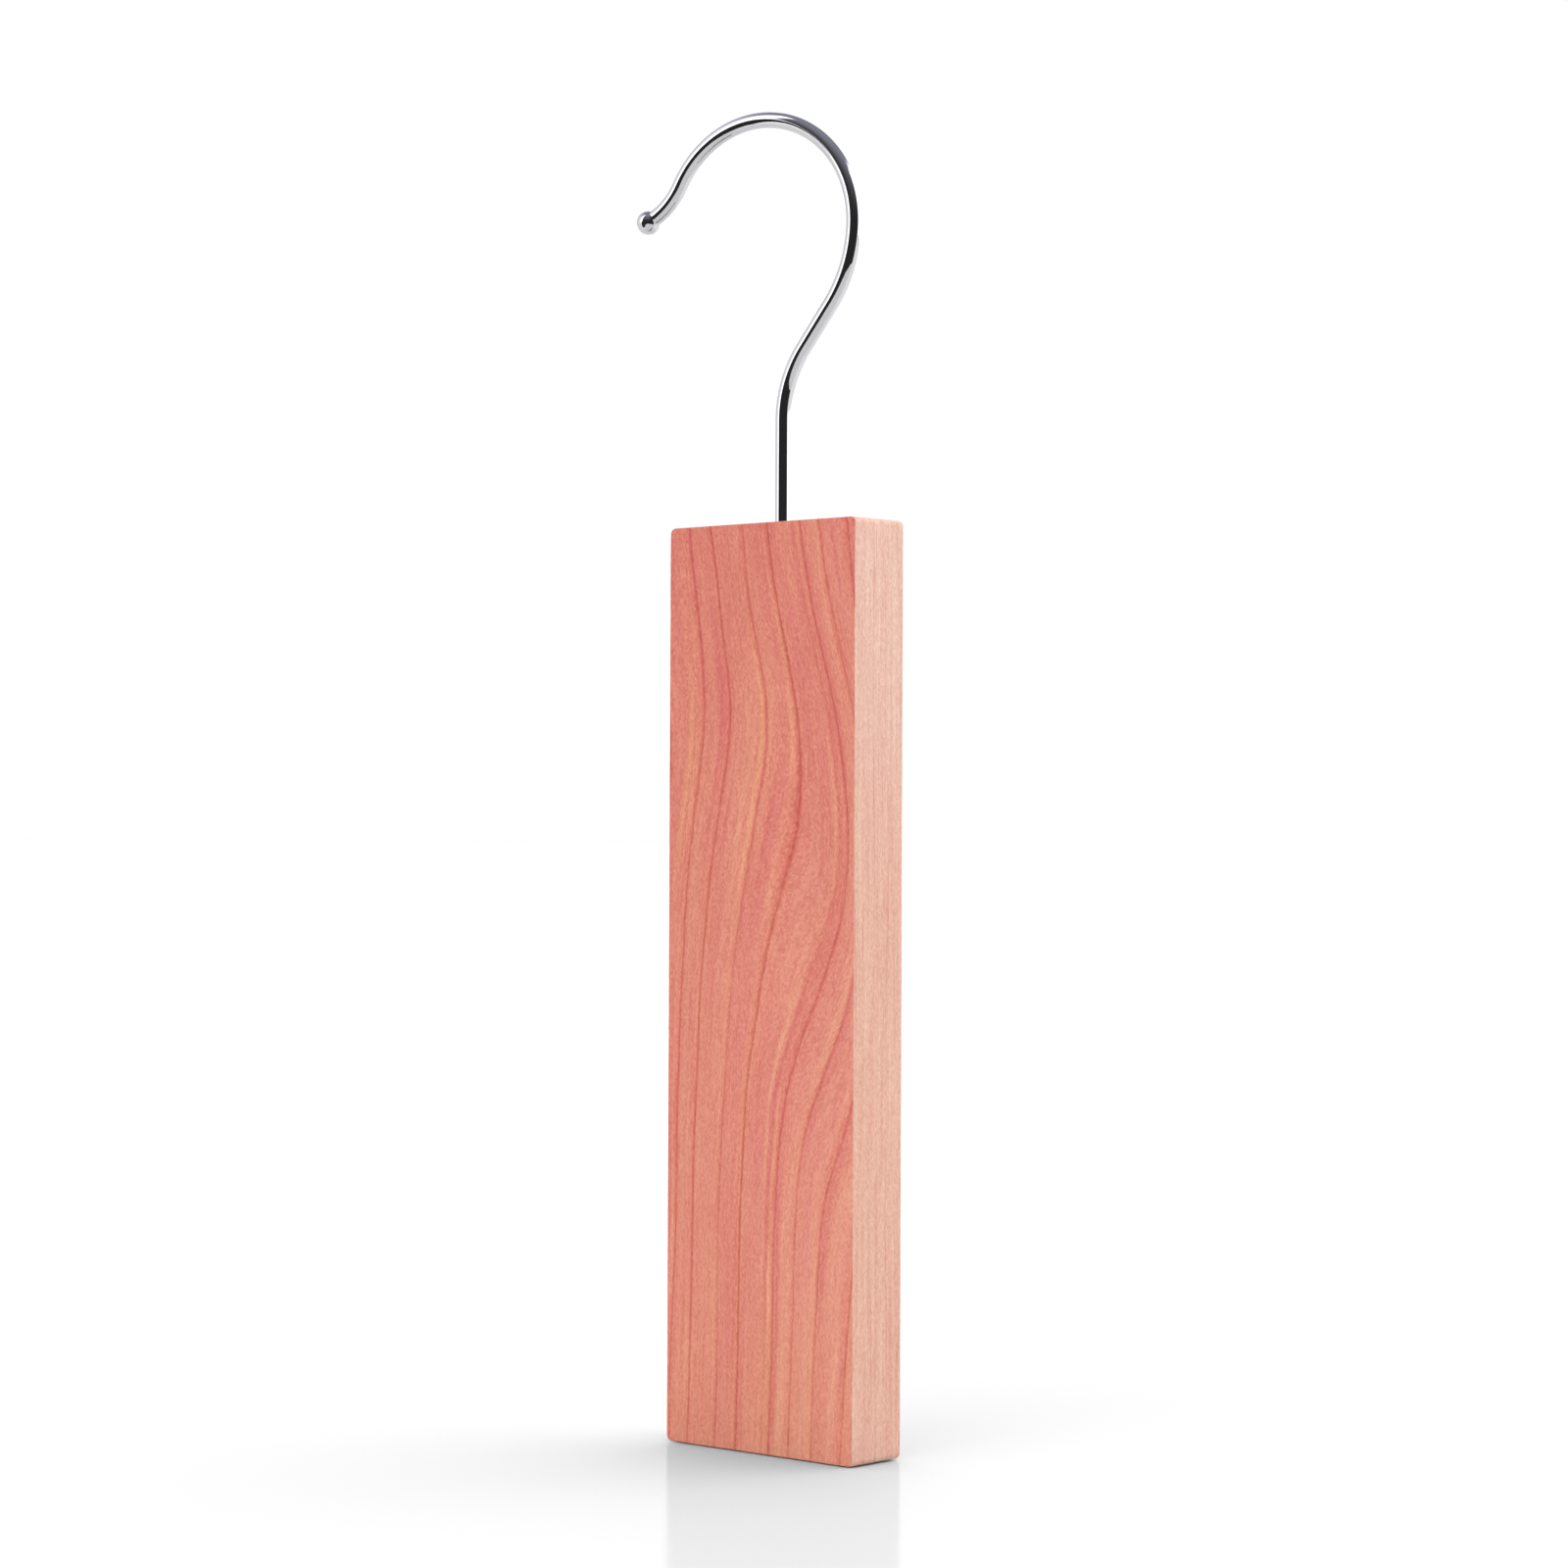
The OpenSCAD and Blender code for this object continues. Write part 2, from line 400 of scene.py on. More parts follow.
    # the sawn ends: darker, with crisp rings and pores
    pores = g.step(g.voronoi(g.xyz(x, y, z * 0.1), scale=3.2), 0.10, 0.30, 1.0, 0.0)
    rays = g.noise(g.xyz(a * 0.6, (x * 0.75 - y) * 3.2, 0.0), detail=2.0)
    endc = g.madd(late, k(-12, -20, -18), k(208, 142, 119))
    endc = g.madd(core, k(-16, -20, -14), endc)
    endc = g.madd(streak, k(3, 5, 4), endc)
    endc = g.madd(rays, k(4, 6, 6), endc)
    endc = g.madd(pores, k(-22, -22, -18), endc)
    endc = g.madd(speck, k(8, 9, 9), endc)

    def to_linear(c, light):
        n = g.node("ShaderNodeGamma")
        g.put(n.inputs[0], c)
        n.inputs[1].default_value = 2.2
        return g.vmath("MULTIPLY", Val(g, n.outputs[0]), (1 / light,) * 3)

    def mix(f, p, q):
        n = g.node("ShaderNodeMix", data_type="RGBA")
        g.put(n.inputs[0], f)
        g.put(n.inputs[6], p)
        g.put(n.inputs[7], q)
        return Val(g, n.outputs[2])

    colour = mix(side, to_linear(broad, LIGHT_BROAD), to_linear(narrow, LIGHT_NARROW))
    colour = mix(end, colour, to_linear(endc, 1.0))
    g.put(bsdf.inputs["Base Color"], colour)
    rough = speck * 0.05 + 0.62 + fibre * 0.03 - core * 0.06
    g.put(bsdf.inputs["Roughness"], rough)
    bsdf.inputs["Specular IOR Level"].default_value = 0.28
    height = speck * 0.012 + fibre * 0.008 + core * 0.018 - dash * 0.02 - pores * end * 0.05
    g.put(bsdf.inputs["Normal"], g.bump(height, 0.001, 0.9))
    return mat


# ================================================================ meshes
def link(mesh, name, mat):
    ob = bpy.data.objects.new(name, mesh)
    scene.collection.objects.link(ob)
    mesh.materials.append(mat)
    return ob


def hash_noise(t, seed):
    """Smooth 1-D noise from -1 to 1 of an array of arc lengths, the same on every run."""
    t = np.asarray(t, float)
    i = np.floor(t)

    def r(n):
        v = np.sin(n * 127.1 + seed * 311.7) * 43758.5453
        return (v - np.floor(v)) * 2 - 1

    f = t - i
    f = f * f * (3 - 2 * f)
    return r(i) * (1 - f) + r(i + 1) * f


def block_mesh():
    """The bar, as rings of points: the front face's grid, the eased edge, the sides, the eased edge, the back's grid."""
    arc = np.linspace(0, math.pi / 2, 8)
    # one side's column of points from bottom to top, as (x offset from the straight side, z, normal x, normal z)
    col = []
    for t in arc:  # bottom corner: from pointing down to pointing out
        col.append((W / 2 - CORNER + CORNER * math.sin(t), -H / 2 + CORNER - CORNER * math.cos(t), math.sin(t), -math.cos(t)))
    rows = 158
    for zz in np.linspace(-H / 2 + CORNER, H / 2 - CORNER, rows)[1:-1]:
        col.append((W / 2, zz, 1.0, 0.0))
    for t in arc[::-1]:
        col.append((W / 2 - CORNER + CORNER * math.sin(t), H / 2 - CORNER + CORNER * math.cos(t), math.sin(t), math.cos(t)))
    col = np.array(col)
    K = len(col)
    N = 44
    # the loop: bottom row left to right, right column up, top row right to left, left column down
    xs = np.linspace(-(W / 2 - CORNER), W / 2 - CORNER, N + 1)
    loop = [(xv, -H / 2, 0.0, -1.0) for xv in xs]
    loop += [tuple(c) for c in col[1:]]
    loop += [(xv, H / 2, 0.0, 1.0) for xv in xs[::-1][1:]]
    loop += [(-c[0], c[1], -c[2], c[3]) for c in col[::-1][1:-1]]
    loop = np.array(loop)
    L = len(loop)
    seg = np.hypot(*(np.roll(loop[:, :2], -1, 0) - loop[:, :2]).T)
    s = np.concatenate([[0], np.cumsum(seg)[:-1]])
    verts, faces = [], []

    def ring(inset, yy):
        base = len(verts)
        p = loop[:, :2] - loop[:, 2:] * np.asarray(inset)[:, None]
        for (px, pz), yv in zip(p, np.broadcast_to(yy, (L,))):
            verts.append((px, yv, pz + H / 2))
        return base

    def joined(b0, b1):
        for i in range(L):
            j = (i + 1) % L
            faces.append((b0 + i, b0 + j, b1 + j, b1 + i))

    # how much each long edge is eased, along the loop
    def ease(seed):
        e = 0.27 + 0.045 * hash_noise(s / 9.0, seed) + 0.03 * hash_noise(s / 2.3, seed + 5)
        return np.clip(e, 0.2, 0.36)

    ef, eb = ease(1.0), ease(2.0)
    steps = np.linspace(0, math.pi / 2, 5)
    bases = []
    for t in steps:  # front edge: from the face to the side
        bases.append(ring(ef * (1 - math.sin(t)), -T / 2 + ef * (1 - math.cos(t))))
    for yv in np.linspace(-T / 2, T / 2, 14)[1:-1]:
        bases.append(ring(np.zeros(L), yv))
    for t in steps[::-1]:
        bases.append(ring(eb * (1 - math.sin(t)), T / 2 - eb * (1 - math.cos(t))))
    for b0, b1 in zip(bases, bases[1:]):
        joined(b0, b1)

    # the faces' grids, whose rim is the first or last ring
    def cap(base, yv, flip):
        idx = np.zeros((K, N + 1), int)
        idx[0, :] = base + np.arange(N + 1)
        idx[:, N] = base + N + np.arange(K)
        idx[K - 1, :] = base + N + K - 1 + (N - np.arange(N + 1))
        for r in range(1, K - 1):
            idx[r, 0] = base + (L - r)
        for r in range(1, K - 1):
            lo, hi = np.array(verts[idx[r, 0]]), np.array(verts[idx[r, N]])
            for c in range(1, N):
                f = c / N
                q = lo * (1 - f) + hi * f
                # never quite flat: a planer leaves a few hundredths
                dip = 0.012 * (1 + math.sin(q[2] * 0.11 + q[0] * 0.05)) * min(1.0, 6 * f, 6 * (1 - f))
                verts.append((q[0], yv + (dip if yv < 0 else -dip), q[2]))
                idx[r, c] = len(verts) - 1
        for r in range(K - 1):
            for c in range(N):
                f = (idx[r, c], idx[r, c + 1], idx[r + 1, c + 1], idx[r + 1, c])
                faces.append(f[::-1] if flip else f)

    cap(bases[0], -T / 2, False)
    cap(bases[-1], T / 2, True)
    me = bpy.data.meshes.new("cedar_block_bar")
    me.from_pydata([tuple(v * MM for v in p) for p in verts], [], [tuple(int(i) for i in f) for f in faces])
    me.validate()
    bm = bmesh.new()
    bm.from_mesh(me)
    bmesh.ops.recalc_face_normals(bm, faces=bm.faces)
    bm.to_mesh(me)
    bm.free()
    return me


def revolve(name, profile, segments, centre):
    """A closed or axis-to-axis profile of (r, z) turned about a vertical axis."""
    verts, rings = [], []
    for r, zz in profile:
        if r < 1e-6:
            verts.append((centre[0], centre[1], zz))
            rings.append([len(verts) - 1])
        else:
            ids = []
            for i in range(segments):
                t = 2 * math.pi * i / segments
                verts.append((centre[0] + r * math.cos(t), centre[1] + r * math.sin(t), zz))
                ids.append(len(verts) - 1)
            rings.append(ids)
    faces = []
    closed = profile[0][0] > 1e-6
    pairs = list(zip(rings, rings[1:])) + ([(rings[-1], rings[0])] if closed else [])
    for r0, r1 in pairs:
        for i in range(segments):
            j = (i + 1) % segments
            if len(r0) == 1 and len(r1) == 1:
                continue
            if len(r0) == 1:
                faces.append((r0[0], r1[j], r1[i]))
            elif len(r1) == 1:
                faces.append((r0[i], r0[j], r1[0]))
            else:
                faces.append((r0[i], r0[j], r1[j], r1[i]))
    me = bpy.data.meshes.new(name)
    me.from_pydata([tuple(v * MM for v in p) for p in verts], [], faces)
    me.validate()
    bm = bmesh.new()
    bm.from_mesh(me)
    bmesh.ops.recalc_face_normals(bm, faces=bm.faces)
    bm.to_mesh(me)
    bm.free()
    return me


def finish_mesh(ob, angle=35.0):
    me = ob.data
    me.polygons.foreach_set("use_smooth", [True] * len(me.polygons))
    me.set_sharp_from_angle(angle=math.radians(angle))
    me.update()


def box_uv(me, scale=5.0):
    """Box-mapped UVs, in units of 1/scale per metre."""
    uv = me.uv_layers.new(name="UVMap")
    for p in me.polygons:
        n = [abs(v) for v in p.normal]
        ax = n.index(max(n))
        i, j = [(1, 2), (0, 2), (0, 1)][ax]
        for li in p.loop_indices:
            co = me.vertices[me.loops[li].vertex_index].co
            uv.data[li].uv = (co[i] * scale, co[j] * scale)


def make_block(mat):
    me = block_mesh()
    ob = link(me, "cedar_bar", mat)
    hole_r = 4.0
    foot = 177.5
    cutter_me = revolve(
        "hole_cut",
        [(0.0, foot - hole_r / math.tan(math.radians(59))), (hole_r, foot), (hole_r, 199.7), (hole_r + 0.3, 200.0), (hole_r + 0.3, 201.0), (0.0, 201.0)],
        96,
        (HOLE_X, 0.0),
    )
    cutter = bpy.data.objects.new("hole_cut", cutter_me)
    scene.collection.objects.link(cutter)
    mod = ob.modifiers.new("hole", "BOOLEAN")
    mod.operation, mod.solver, mod.object = "DIFFERENCE", "EXACT", cutter
    dg = bpy.context.evaluated_depsgraph_get()
    cut = bpy.data.meshes.new_from_object(ob.evaluated_get(dg))
    ob.modifiers.clear()
    ob.data = cut
    cut.name = "cedar_bar"
    cut.materials.clear()
    cut.materials.append(mat)
    bpy.data.objects.remove(cutter)
    finish_mesh(ob, 32.0)
    box_uv(cut)
    wn = ob.modifiers.new("even_normals", "WEIGHTED_NORMAL")
    wn.keep_sharp = True
    wn.weight = 60
    return ob


def hook_path():
    """The wire's middle line and radius, in its own plane: (h, z, heading, radius)."""
    out = []

    def add(h, zz, hd, r):
        out.append((h, zz, hd, r))

    # the upset head and its rolled edges, then the neck
    z0 = HEAD_Z
    up = math.pi / 2
    add(0, z0, up, 0.0)
    for r in (0.8, 1.6, 2.2, HEAD_R - 0.45):
        add(0, z0, up, r)
    for t in np.linspace(0, math.pi / 2, 6)[1:]:
        add(0, z0 + 0.4 - 0.4 * math.cos(t), up, HEAD_R - 0.4 + 0.4 * math.sin(t))
    for t in np.linspace(0, math.pi / 2, 5):
        add(0, z0 + HEAD_H - 0.22 + 0.22 * math.sin(t), up, HEAD_R - 0.22 + 0.22 * math.cos(t))
    add(0, z0 + HEAD_H, up, 2.3)
    for t in np.linspace(0, math.pi / 2, 5):
        add(0, z0 + HEAD_H + 0.2 - 0.2 * math.cos(t), up, WIRE_R + 0.2 - 0.2 * math.sin(t))
    h, zz, hd = 0.0, z0 + HEAD_H + 0.2, up
    pts = [(h, zz, hd)]

    def straight(length):
        nonlocal h, zz
        n = max(2, int(round(length / 0.5)))
        for i in range(1, n + 1):
            pts.append((h + math.cos(hd) * length * i / n, zz + math.sin(hd) * length * i / n, hd))
        h, zz = pts[-1][0], pts[-1][1]

    def arc(radius, deg):
        nonlocal h, zz, hd
        sgn = 1 if deg > 0 else -1
        ang = math.radians(abs(deg))
        cx, cz = h - sgn * radius * math.sin(hd), zz + sgn * radius * math.cos(hd)
        n = max(3, int(round(radius * ang / 0.5)))
        for i in range(1, n + 1):
            t = hd + sgn * ang * i / n
            pts.append((cx + sgn * radius * math.sin(t), cz - sgn * radius * math.cos(t), t))
        h, zz, hd = pts[-1]

    straight(222.7 - zz)
    arc(25.7, -36.6)
    straight(11.2)
    arc(29.9, 35.6)
    arc(23.7, 152.8)
    arc(16.2, -33.6)
    centre = (h + 2.0 * math.cos(hd), zz + 2.0 * math.sin(hd))
    # keep the wire up to where the ball's neck starts
    for p in pts[1:]:
        d = math.hypot(p[0] - centre[0], p[1] - centre[1])
        if d > 3.3:
            add(p[0], p[1], p[2], WIRE_R)
    # the neck and the ball, about the wire's last direction
    arc_d = 3.25
    for sd in list(np.linspace(-arc_d, -1.55, 16)):
        # along the last straight and bend
        rs = math.sqrt(max(BALL_R ** 2 - sd * sd, 0.0)) if abs(sd) < BALL_R else 0.0
        kk = 0.30
        m = max(WIRE_R, rs)
        blend = max(kk - abs(WIRE_R - rs), 0.0) / kk
        rr = m + blend * blend * kk * 0.25
        # the bend's own curve before the straight
        if sd < -2.0:
            over = -2.0 - sd
            t = hd + over / 16.2
            bh = h - 16.2 * (math.sin(t) - math.sin(hd)) * 1.0
            bz = zz + 16.2 * (math.cos(t) - math.cos(hd)) * 1.0
            add(bh, bz, t, rr)
        else:
            add(centre[0] + math.cos(hd) * sd, centre[1] + math.sin(hd) * sd, hd, rr)
    for t in np.linspace(math.asin(-1.4 / BALL_R), math.pi / 2, 22):
        sd, rr = BALL_R * math.sin(t), BALL_R * math.cos(t)
        add(centre[0] + math.cos(hd) * sd, centre[1] + math.sin(hd) * sd, hd, max(rr, 0.0) if t < math.pi / 2 - 1e-6 else 0.0)
    return out


def make_hook(mat):
    path = hook_path()
    seg = 48
    verts, rings, arcs = [], [], []
    s = 0.0
    prev = None
    ct, st = math.cos(TURN), math.sin(TURN)
    for h, zz, hd, r in path:
        if prev is not None:
            s += math.hypot(h - prev[0], zz - prev[1]) + abs(r - prev[2]) * 0.5
        prev = (h, zz, r)
        side = (-math.sin(hd), math.cos(hd))  # in-plane normal, to the left of the heading
        ids = []
        n = 1 if r < 1e-6 else seg
        for i in range(n):
            t = 2 * math.pi * i / seg
            hh = h + side[0] * r * math.cos(t)
            z1 = zz + side[1] * r * math.cos(t)
            q = r * math.sin(t)  # out of the plane
            verts.append((HOLE_X + hh * ct - q * st, hh * st + q * ct, z1))
            ids.append(len(verts) - 1)
        rings.append(ids)
        arcs.append(s)
    faces, uvs = [], []
    around = 2 * math.pi * WIRE_R / seg
    for (r0, s0), (r1, s1) in zip(zip(rings, arcs), zip(rings[1:], arcs[1:])):
        for i in range(seg):
            j = (i + 1) % seg
            v0, v1 = i * around, (i + 1) * around
            if len(r0) == 1:
                faces.append((r0[0], r1[j], r1[i]))
                uvs.append([(s0, v0), (s1, v1), (s1, v0)])
            elif len(r1) == 1:
                faces.append((r0[i], r0[j], r1[0]))
                uvs.append([(s0, v0), (s0, v1), (s1, v0)])
            else:
                faces.append((r0[i], r0[j], r1[j], r1[i]))
                uvs.append([(s0, v0), (s0, v1), (s1, v1), (s1, v0)])
    me = bpy.data.meshes.new("wire_hook")
    me.from_pydata([tuple(v * MM for v in p) for p in verts], [], faces)
    uv = me.uv_layers.new(name="UVMap")
    k = 0
    for f in uvs:
        for c in f:
            uv.data[k].uv = (c[0] / 180.0, c[1] / 180.0)
            k += 1
    bm = bmesh.new()
    bm.from_mesh(me)
    bmesh.ops.recalc_face_normals(bm, faces=bm.faces)
    bm.to_mesh(me)
    bm.free()
    ob = link(me, "wire_hook", mat)
    finish_mesh(ob, 50.0)
    return ob


def soften(profile, cut):
    """Each corner of a closed profile cut back to three points."""
    out = []
    n = len(profile)
    for i in range(n):
        p0, p1, p2 = (np.array(profile[(i + k) % n], float) for k in (-1, 0, 1))
        a, b = p0 - p1, p2 - p1
        la, lb = np.linalg.norm(a), np.linalg.norm(b)
        c = min(cut, la * 0.35, lb * 0.35)
        q0, q2 = p1 + a / la * c, p1 + b / lb * c
        out += [tuple(q0), tuple((q0 + q2) / 4 + p1 / 2), tuple(q2)]
    return out


def make_bush(mat):
    top, foot = 199.8, 177.8
    r = 3.95
    pitch = (22 - 6) / 6
    prof = [(3.3, foot), (3.3, foot + 2.4), (1.78, foot + 2.4), (1.78, top - 0.4), (2.18, top), (r - 0.3, top), (r, top - 0.3)]
    for i in range(6):
        zz = top - 2.5 - i * pitch
        prof += [(r, zz), (r + 0.3, zz - 0.2), (r + 0.3, zz - 0.5), (r, zz - pitch * 0.75)]
    prof += [(r, foot + 0.6), (r - 0.4, foot)]
    me = revolve("nylon_bush", soften(prof, 0.06), 96, (HOLE_X, 0.0))
    ob = link(me, "nylon_bush", mat)
    finish_mesh(ob, 30.0)
    box_uv(me, 20.0)
    return ob


# ================================================================ chrome and nylon
def chrome_material():
    mat, g, bsdf = new_material("chrome_wire")
    P = object_mm(g)
    tc = g.node("ShaderNodeTexCoord")
    uv = g.vmath("MULTIPLY", Val(g, tc.outputs["UV"]), (180.0, 180.0, 0.0))
    u, v, _ = g.split(uv)
    # drawing lines along the wire, under the plating
    lines = g.noise(g.xyz(u * 0.05, v * 5.0, 0.0), detail=3.0, rough=0.6)
    cloud = g.noise(P, scale=0.35, detail=3.0, rough=0.6)
    fine = g.noise(P, scale=2.6, detail=2.0, rough=0.5)
    pits = g.step(g.noise(P, scale=1.9, detail=1.0), 0.62, 0.9)
    c = g.madd(cloud, (0.012, 0.012, 0.012), (0.62, 0.615, 0.63))
    c = g.madd(lines, (0.012, 0.012, 0.011), c)
    c = g.madd(pits, (-0.05, -0.05, -0.045), c)
    g.put(bsdf.inputs["Base Color"], c)
    bsdf.inputs["Metallic"].default_value = 1.0
    g.put(bsdf.inputs["Roughness"], cloud * 0.012 + 0.045 + lines * 0.008)
    height = lines * 0.0003 + cloud * 0.003 + fine * 0.0002 - pits * 0.001
    g.put(bsdf.inputs["Normal"], g.bump(height, 0.001, 1.0))
    return mat


def nylon_material():
    mat, g, bsdf = new_material("nylon")
    P = object_mm(g)
    x, y, z = g.split(P)
    cloud = g.noise(P, scale=0.35, detail=3.0, rough=0.55)
    grain = g.noise(P, scale=5.0, detail=2.0, rough=0.6)
    flow = g.noise(g.xyz(x * 0.8, y * 0.8, z * 0.1), detail=2.0)
    c = g.madd(cloud, (0.03, 0.035, 0.04), (0.60, 0.42, 0.25))
    c = g.madd(flow, (0.02, 0.02, 0.02), c)
    c = g.madd(grain, (0.015, 0.015, 0.012), c)
    g.put(bsdf.inputs["Base Color"], c)
    g.put(bsdf.inputs["Roughness"], grain * 0.05 + 0.46 + cloud * 0.04)
    bsdf.inputs["Subsurface Weight"].default_value = 0.08
    bsdf.inputs["Subsurface Radius"].default_value = (0.0012, 0.0009, 0.0006)
    g.put(bsdf.inputs["Normal"], g.bump(grain * 0.008 + flow * 0.01, 0.001, 0.8))
    return mat


# ================================================================ pieces on the frame
cedar = make_block(cedar_material())
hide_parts("cedar_block")
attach(cedar, "block")

hook = make_hook(chrome_material())
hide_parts("hook")
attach(hook, "hook")

bush = make_bush(nylon_material())
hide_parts("hook_bush")
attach(bush, "block")

# ================================================================ floor
# Directions are told from the camera's side: 'toward' points from the object
# to the camera, and 'across' to the camera's right.
YAW = math.radians(42.05)
toward = (math.sin(YAW), -math.cos(YAW), 0.0)
across = (math.cos(YAW), math.sin(YAW), 0.0)


def from_camera(t, c, zz):
    return (toward[0] * t + across[0] * c, toward[1] * t + across[1] * c, zz)


fmat = bpy.data.materials.new("studio_floor")
fmat.use_nodes = True
fmat.node_tree.nodes.clear()
g = Graph(fmat.node_tree)
P = object_mm(g)
dust = g.noise(P, scale=0.02, detail=3.0)
fd = g.node("ShaderNodeBsdfDiffuse")
g.put(fd.inputs[0], g.madd(dust, (0.003, 0.003, 0.003), (FLOOR_ALBEDO,) * 3))
fg = g.node("ShaderNodeBsdfGlossy")
fg.inputs["Color"].default_value = (1, 1, 1, 1)
g.put(fg.inputs["Roughness"], dust * 0.01 + 0.12)
fx = g.node("ShaderNodeMixShader")
fx.inputs[0].default_value = FLOOR_GLOSS
fmat.node_tree.links.new(fd.outputs[0], fx.inputs[1])
fmat.node_tree.links.new(fg.outputs[0], fx.inputs[2])
fo = g.node("ShaderNodeOutputMaterial")
fmat.node_tree.links.new(fx.outputs[0], fo.inputs[0])
R = 60.0
# Reflections in the chrome see the white floor only up to this line, told as
# (azimuth from the camera's side, distance), and the dark room beyond it.
RIM = [(-76, 0.34), (-66, 0.31), (-56, 0.30), (-48, 0.34), (-38, 0.48), (-26, 0.72), (-12, 0.95), (0, 0.95), (18, 0.82), (38, 0.80), (56, 0.80)]


def on_floor(azimuth, distance):
    t = math.radians(azimuth)
    return from_camera(distance * math.cos(t), distance * math.sin(t), FLOOR_Z)


near, far = [on_floor(a_, d_) for a_, d_ in RIM], [on_floor(a_, R) for a_, d_ in RIM]
rest = [on_floor(a_, R) for a_ in np.linspace(56, 284, 40)]
fm = bpy.data.meshes.new("studio_floor")
# two fans about the foot: up to the line in front, and out to the horizon behind
fans = [(0, i + 1, i + 2) for i in range(len(near) - 1)]
fans += [(0, len(near) + i + 1, len(near) + i + 2) for i in range(len(rest) - 1)]
fm.from_pydata([(0.0, 0.0, FLOOR_Z)] + near + rest, [], fans)
floor = link(fm, "studio_floor", fmat)
n_rim = len(near)
fm2 = bpy.data.meshes.new("studio_floor_front")
fm2.from_pydata(near + far, [], [(i, n_rim + i, n_rim + i + 1, i + 1) for i in range(n_rim - 1)])
front = link(fm2, "studio_floor_front", fmat)
front.visible_glossy = False

# what the floor and the wire get back from the bar comes off a grey card
# inside it, so that both stay neutral beside the red wood
card_mat, g, bsdf = new_material("grey_card")
g.put(bsdf.inputs["Base Color"], g.madd(g.noise(object_mm(g), scale=0.05), (0.01, 0.01, 0.01), (0.26, 0.26, 0.26)))
bsdf.inputs["Roughness"].default_value = 0.9
card = link(cedar.data.copy(), "grey_card", card_mat)
card.data.materials.clear()
card.data.materials.append(card_mat)
card.scale = (0.9992, 0.996, 0.9998)
card.location = (0.0, 0.0, 0.00002)
for ray in ("camera", "transmission", "volume_scatter", "shadow"):
    setattr(card, "visible_" + ray, False)
cedar.visible_diffuse = False
cedar.visible_glossy = False

# ================================================================ studio light
world = bpy.data.worlds.new("studio")
scene.world = world
world.use_nodes = True
wt = world.node_tree
wt.nodes.clear()
g = Graph(wt)
tc = g.node("ShaderNodeTexCoord")
D = Val(g, tc.outputs["Generated"])


def dot(vec):
    n = g.node("ShaderNodeVectorMath", operation="DOT_PRODUCT")
    g.put(n.inputs[0], D)
    n.inputs[1].default_value = vec
    return Val(g, n.outputs["Value"])


ct, ca, up = dot(toward), dot(across), dot((0.0, 0.0, 1.0))
az = g.math("ARCTAN2", ca, ct) * (180 / math.pi)      # 0 toward the camera, + to its right
el = g.math("ARCSINE", g.min(g.max(up, -1.0), 1.0)) * (180 / math.pi)


def window(v, lo, hi, soft):
    return g.step(v, lo - soft, lo + soft) * (1.0 - g.step(v, hi - soft, hi + soft))


def layer(base, mask, level):
    return base * (1.0 - mask) + mask * level


GREY_TOP = 0.34
# the ceiling, and the pale wall on the left, duller towards the back
wall = g.step(az, -160.0, -84.0, 0.55, 1.35, smooth=False)
light = layer(g.math("ADD", GREY_TOP, 0.0), window(az, -200.0, -75.0, 3.0) * (1.0 - g.step(el, 38.0, 66.0)), wall)
# a narrow white strip light on the left
light = layer(light, window(az, -82.0, -62.5, 2.0) * (1.0 - g.step(el, 62.0, 74.0)), 2.4)
# the big white bank on the right, and the white sweep straight behind
rim = g.step(az, 100.0, 175.0, 46.0, 17.0)
light = layer(light, window(az, 62.0, 200.0, 4.0) * (1.0 - g.step(el - rim, -4.0, 4.0)), BANK)
behind = (1.0 - g.step(ct, -0.93, -0.88)) * (1.0 - g.step(el, 14.0, 22.0))
light = layer(light, behind, 1.6)
# the dark room behind the camera, which fades into the ceiling
dark_from = g.step(el, 2.0, 12.0, -73.0, -61.5)
dark = g.step(az - dark_from, -3.0, 3.0) * (1.0 - g.step(az, 51.0, 59.0))
light = layer(light, dark, g.step(el, 6.0, 82.0, 0.030, GREY_TOP))

cool = g.step(el, 20.0, 60.0)
tint = g.xyz(light * (1.0 - cool * 0.10), light * (0.985 - cool * 0.07), light * (1.01 + cool * 0.12))
bg = g.node("ShaderNodeBackground")
g.put(bg.inputs[0], tint)
bg.inputs[1].default_value = WORLD
# what falls on matt surfaces is evener: the same room, through diffusers
even = ca * EVEN_SIDE + EVEN
soft = g.node("ShaderNodeBackground")
g.put(soft.inputs[0], g.xyz(even, even, even))
soft.inputs[1].default_value = WORLD
white = g.node("ShaderNodeBackground")
white.inputs[0].default_value = (1, 1, 1, 1)
white.inputs[1].default_value = 1.0
lp = g.node("ShaderNodeLightPath")
mixn = g.node("ShaderNodeMixShader")
gloss_mix = g.node("ShaderNodeMixShader")
wt.links.new(lp.outputs["Is Glossy Ray"], gloss_mix.inputs[0])
wt.links.new(soft.outputs[0], gloss_mix.inputs[1])
wt.links.new(bg.outputs[0], gloss_mix.inputs[2])
wt.links.new(lp.outputs["Is Camera Ray"], mixn.inputs[0])
wt.links.new(gloss_mix.outputs[0], mixn.inputs[1])
wt.links.new(white.outputs[0], mixn.inputs[2])
wo = g.node("ShaderNodeOutputWorld")
wt.links.new(mixn.outputs[0], wo.inputs[0])


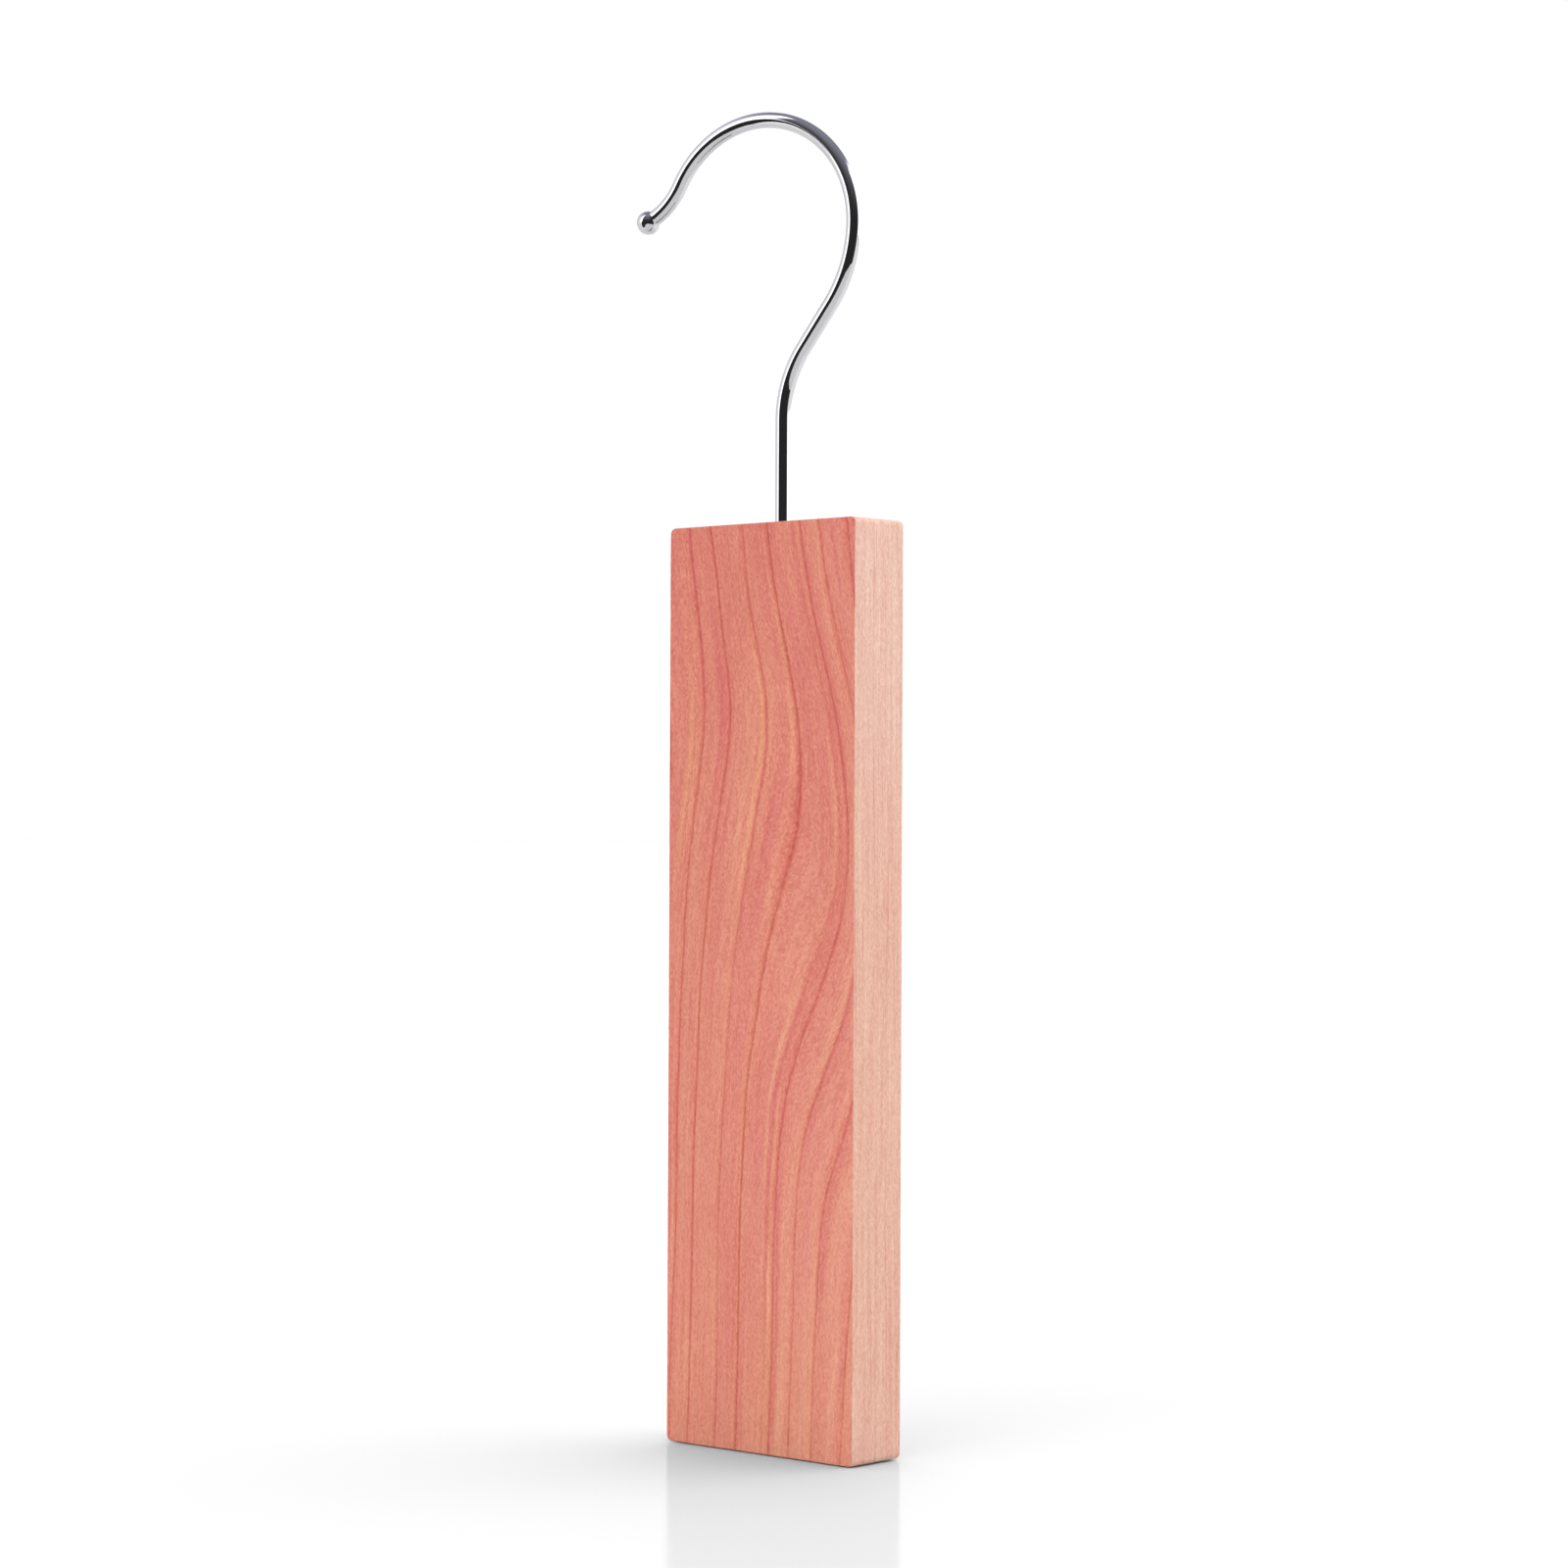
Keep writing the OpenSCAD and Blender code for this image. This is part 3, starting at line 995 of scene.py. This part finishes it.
def soft_sun(name, azimuth, elevation, strength, spread):
    """An even, very soft light from that side of the camera, not seen in the chrome."""
    la = bpy.data.lights.new(name, "SUN")
    la.energy = strength
    la.angle = math.radians(spread)
    ob = bpy.data.objects.new(name, la)
    scene.collection.objects.link(ob)
    t, e = math.radians(azimuth), math.radians(elevation)
    way = Vector(from_camera(math.cos(t) * math.cos(e), math.sin(t) * math.cos(e), math.sin(e)))
    ob.rotation_mode = "QUATERNION"
    ob.rotation_quaternion = way.to_track_quat("Z", "Y")
    ob.location = way * 1.5
    ob.visible_glossy = False
    ob.visible_camera = False
    return ob


soft_sun("top_light", 150, 70, SUN_TOP, 80)
soft_sun("key_left", -38, 28, SUN_KEY, 60)
soft_sun("fill_right", 96, 28, SUN_FILL, 70)

# ================================================================ camera
cam = bpy.data.cameras.new("camera")
camera = bpy.data.objects.new("camera", cam)
scene.collection.objects.link(camera)
scene.camera = camera
yaw, pitch, roll = math.radians(-42.05), math.radians(0.75), math.radians(0.23)
fwd = Vector((math.sin(yaw) * math.cos(pitch), math.cos(yaw) * math.cos(pitch), math.sin(pitch)))
rt = Vector((math.cos(yaw), -math.sin(yaw), 0.0))
upv = rt.cross(fwd)
r2 = math.cos(roll) * rt + math.sin(roll) * upv
u2 = -math.sin(roll) * rt + math.cos(roll) * upv
camera.matrix_world = Matrix((
    (r2.x, u2.x, -fwd.x, 0.5633),
    (r2.y, u2.y, -fwd.y, -0.6246),
    (r2.z, u2.z, -fwd.z, 0.1328),
    (0, 0, 0, 1),
))
cam.sensor_fit = "HORIZONTAL"
cam.sensor_width = 36.0
cam.lens = 89.19
cam.clip_start, cam.clip_end = 0.01, 200.0

scene.view_settings.view_transform = "Standard"
scene.view_settings.look = "None"
scene.view_settings.exposure = 0.0
scene.view_settings.gamma = 1.0
scene.cycles.use_denoising = True
scene.cycles.denoiser = "OPENIMAGEDENOISE"
scene.cycles.denoising_input_passes = "RGB_ALBEDO_NORMAL"
scene.cycles.denoising_prefilter = "FAST"
scene.cycles.max_bounces = 8
scene.cycles.sample_clamp_indirect = 8.0
